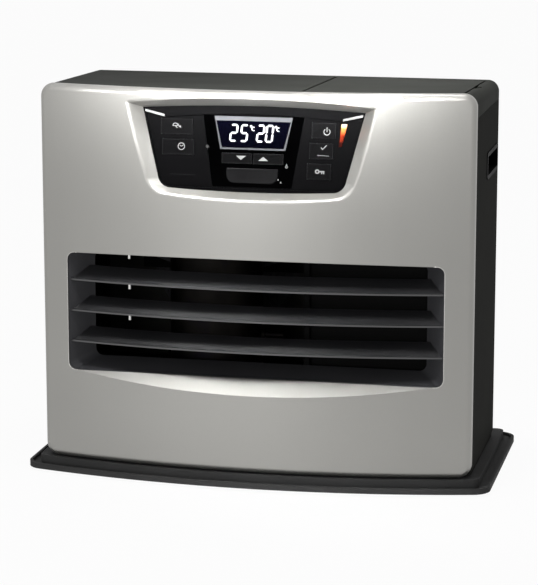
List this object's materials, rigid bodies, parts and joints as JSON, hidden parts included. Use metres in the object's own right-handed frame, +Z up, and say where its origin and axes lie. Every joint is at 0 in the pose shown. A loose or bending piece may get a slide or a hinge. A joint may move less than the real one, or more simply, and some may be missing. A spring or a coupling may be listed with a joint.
{
  "type": "paraffin heater",
  "caption": "Fan-assisted paraffin room heater: bowed silver front with louvred warm-air outlet and recessed display and keys, dark case on a tray base, hinged tank lid.",
  "frame": {"origin": "on the floor under the middle of the base tray", "axes": "+X to the heater's right seen from the front, along its width; +Y to the back; +Z up"},
  "size_m": [0.5, 0.2679, 0.418],
  "materials": {
    "silver_paint": "satin metallic",
    "tray_plastic": "fine grain",
    "top_plastic": "fine grain",
    "case_paint": "semi-matt",
    "louvre_paint": "semi-matt",
    "stay_steel": "plain",
    "bezel_plastic": "fine grain",
    "window_plastic": "polished",
    "lcd_frame_plastic": "satin silver",
    "lcd_dark": "polished",
    "lens_plastic": "polished",
    "lamp_plastic": "translucent",
    "strip_plastic": "polished",
    "key_plastic": "fine grain",
    "foot_rubber": "matt",
    "zinc_sheet": "zinc coated",
    "screw_steel": "zinc coated",
    "fan_plastic": "moulded",
    "motor_steel": "plain",
    "board_laminate": "lacquered",
    "burner_steel": "heat tinted",
    "gasket_fibre": "woven",
    "pipe_brass": "plain",
    "tank_steel": "plated",
    "cap_plastic": "moulded",
    "strainer_plastic": "moulded",
    "switch_plastic": "moulded"
  },
  "bodies": {
    "housing": {"front_panel": "silver_paint", "base_tray": "tray_plastic", "top_cover": "top_plastic", "side_panel_left": "case_paint", "side_panel_right": "case_paint", "rear_panel": "case_paint", "louvre_frame": "louvre_paint", "louvre_blade_low": "louvre_paint", "louvre_blade_mid": "louvre_paint", "louvre_blade_top": "louvre_paint", "louvre_stays": "stay_steel", "control_bezel": "bezel_plastic", "hand_grip_left": "bezel_plastic", "hand_grip_right": "bezel_plastic", "display_window": "window_plastic", "lcd_frame": "lcd_frame_plastic", "lcd_cell": "lcd_dark", "indicator_lens": "lens_plastic", "burner_lamp": "lamp_plastic", "corner_strips": "strip_plastic", "rubber_feet": "foot_rubber", "cord_gland": "foot_rubber", "base_pan": "zinc_sheet", "air_duct": "zinc_sheet", "tank_bay": "zinc_sheet", "fan_bracket": "zinc_sheet", "fuel_sump": "zinc_sheet", "rear_screws": "screw_steel", "fan_guard": "fan_plastic", "filter_rails": "fan_plastic", "blower_housing": "fan_plastic", "tank_receiver": "fan_plastic", "fan_motor": "motor_steel", "blower_motor": "motor_steel", "fuel_pump": "motor_steel", "control_board": "board_laminate", "main_board": "board_laminate", "burner_pot": "burner_steel", "combustion_chamber": "burner_steel", "igniter": "burner_steel", "flame_sensor": "burner_steel", "burner_gasket": "gasket_fibre", "fuel_pipe": "pipe_brass", "fuel_strainer": "strainer_plastic", "tilt_switch": "switch_plastic", "overheat_switch": "switch_plastic"},
    "lid": {"tank_lid": "top_plastic"},
    "tank": {"fuel_tank": "tank_steel", "tank_handle": "fan_plastic"},
    "cap": {"tank_cap": "cap_plastic"},
    "fan": {"fan_rotor": "fan_plastic"},
    "impeller": {"blower_impeller": "fan_plastic"},
    "filter": {"fan_filter": "fan_plastic"},
    "key_save_button": {"key_save": "key_plastic"},
    "key_timer_button": {"key_timer": "key_plastic"},
    "key_down_button": {"key_down": "key_plastic"},
    "key_up_button": {"key_up": "key_plastic"},
    "key_power_button": {"key_power": "key_plastic"},
    "key_extend_button": {"key_extend": "key_plastic"},
    "key_lock_button": {"key_lock": "key_plastic"}
  },
  "joints": [
    {"name": "lid_hinge", "type": "hinge", "parent": "housing", "child": "lid", "pos_m": [0.055, -0.01376, 0.41164], "axis": [0, -0.9994, 0.0343], "range_deg": [0, 100]},
    {"name": "tank_lift", "type": "slide", "parent": "housing", "child": "tank", "axis": [0, 0, 1], "range_m": [0, 0.014]},
    {"name": "cap_turn", "type": "hinge", "parent": "tank", "child": "cap", "pos_m": [0.132, 0.008, 0.052], "axis": [0, 0, 1], "range_deg": [0, 90]},
    {"name": "fan_spin", "type": "hinge", "parent": "housing", "child": "fan", "pos_m": [-0.073, 0.064, 0.205], "axis": [0, 1, 0], "continuous": true},
    {"name": "impeller_spin", "type": "hinge", "parent": "housing", "child": "impeller", "pos_m": [-0.137, -0.012, 0.0525], "axis": [1, 0, 0], "continuous": true},
    {"name": "filter_slide", "type": "slide", "parent": "housing", "child": "filter", "axis": [0, 0, 1], "range_m": [0, 0.19]},
    {"name": "key_save_press", "type": "slide", "parent": "housing", "child": "key_save_button", "axis": [0, 0.9903, -0.1392], "range_m": [0, 0.0008], "stiffness_N_per_m": 300},
    {"name": "key_timer_press", "type": "slide", "parent": "housing", "child": "key_timer_button", "axis": [0, 0.9903, -0.1392], "range_m": [0, 0.0008], "stiffness_N_per_m": 300},
    {"name": "key_down_press", "type": "slide", "parent": "housing", "child": "key_down_button", "axis": [0, 0.9903, -0.1392], "range_m": [0, 0.0008], "stiffness_N_per_m": 300},
    {"name": "key_up_press", "type": "slide", "parent": "housing", "child": "key_up_button", "axis": [0, 0.9903, -0.1392], "range_m": [0, 0.0008], "stiffness_N_per_m": 300},
    {"name": "key_power_press", "type": "slide", "parent": "housing", "child": "key_power_button", "axis": [0, 0.9903, -0.1392], "range_m": [0, 0.0008], "stiffness_N_per_m": 300},
    {"name": "key_extend_press", "type": "slide", "parent": "housing", "child": "key_extend_button", "axis": [0, 0.9903, -0.1392], "range_m": [0, 0.0008], "stiffness_N_per_m": 300},
    {"name": "key_lock_press", "type": "slide", "parent": "housing", "child": "key_lock_button", "axis": [0, 0.9903, -0.1392], "range_m": [0, 0.0008], "stiffness_N_per_m": 300}
  ]
}
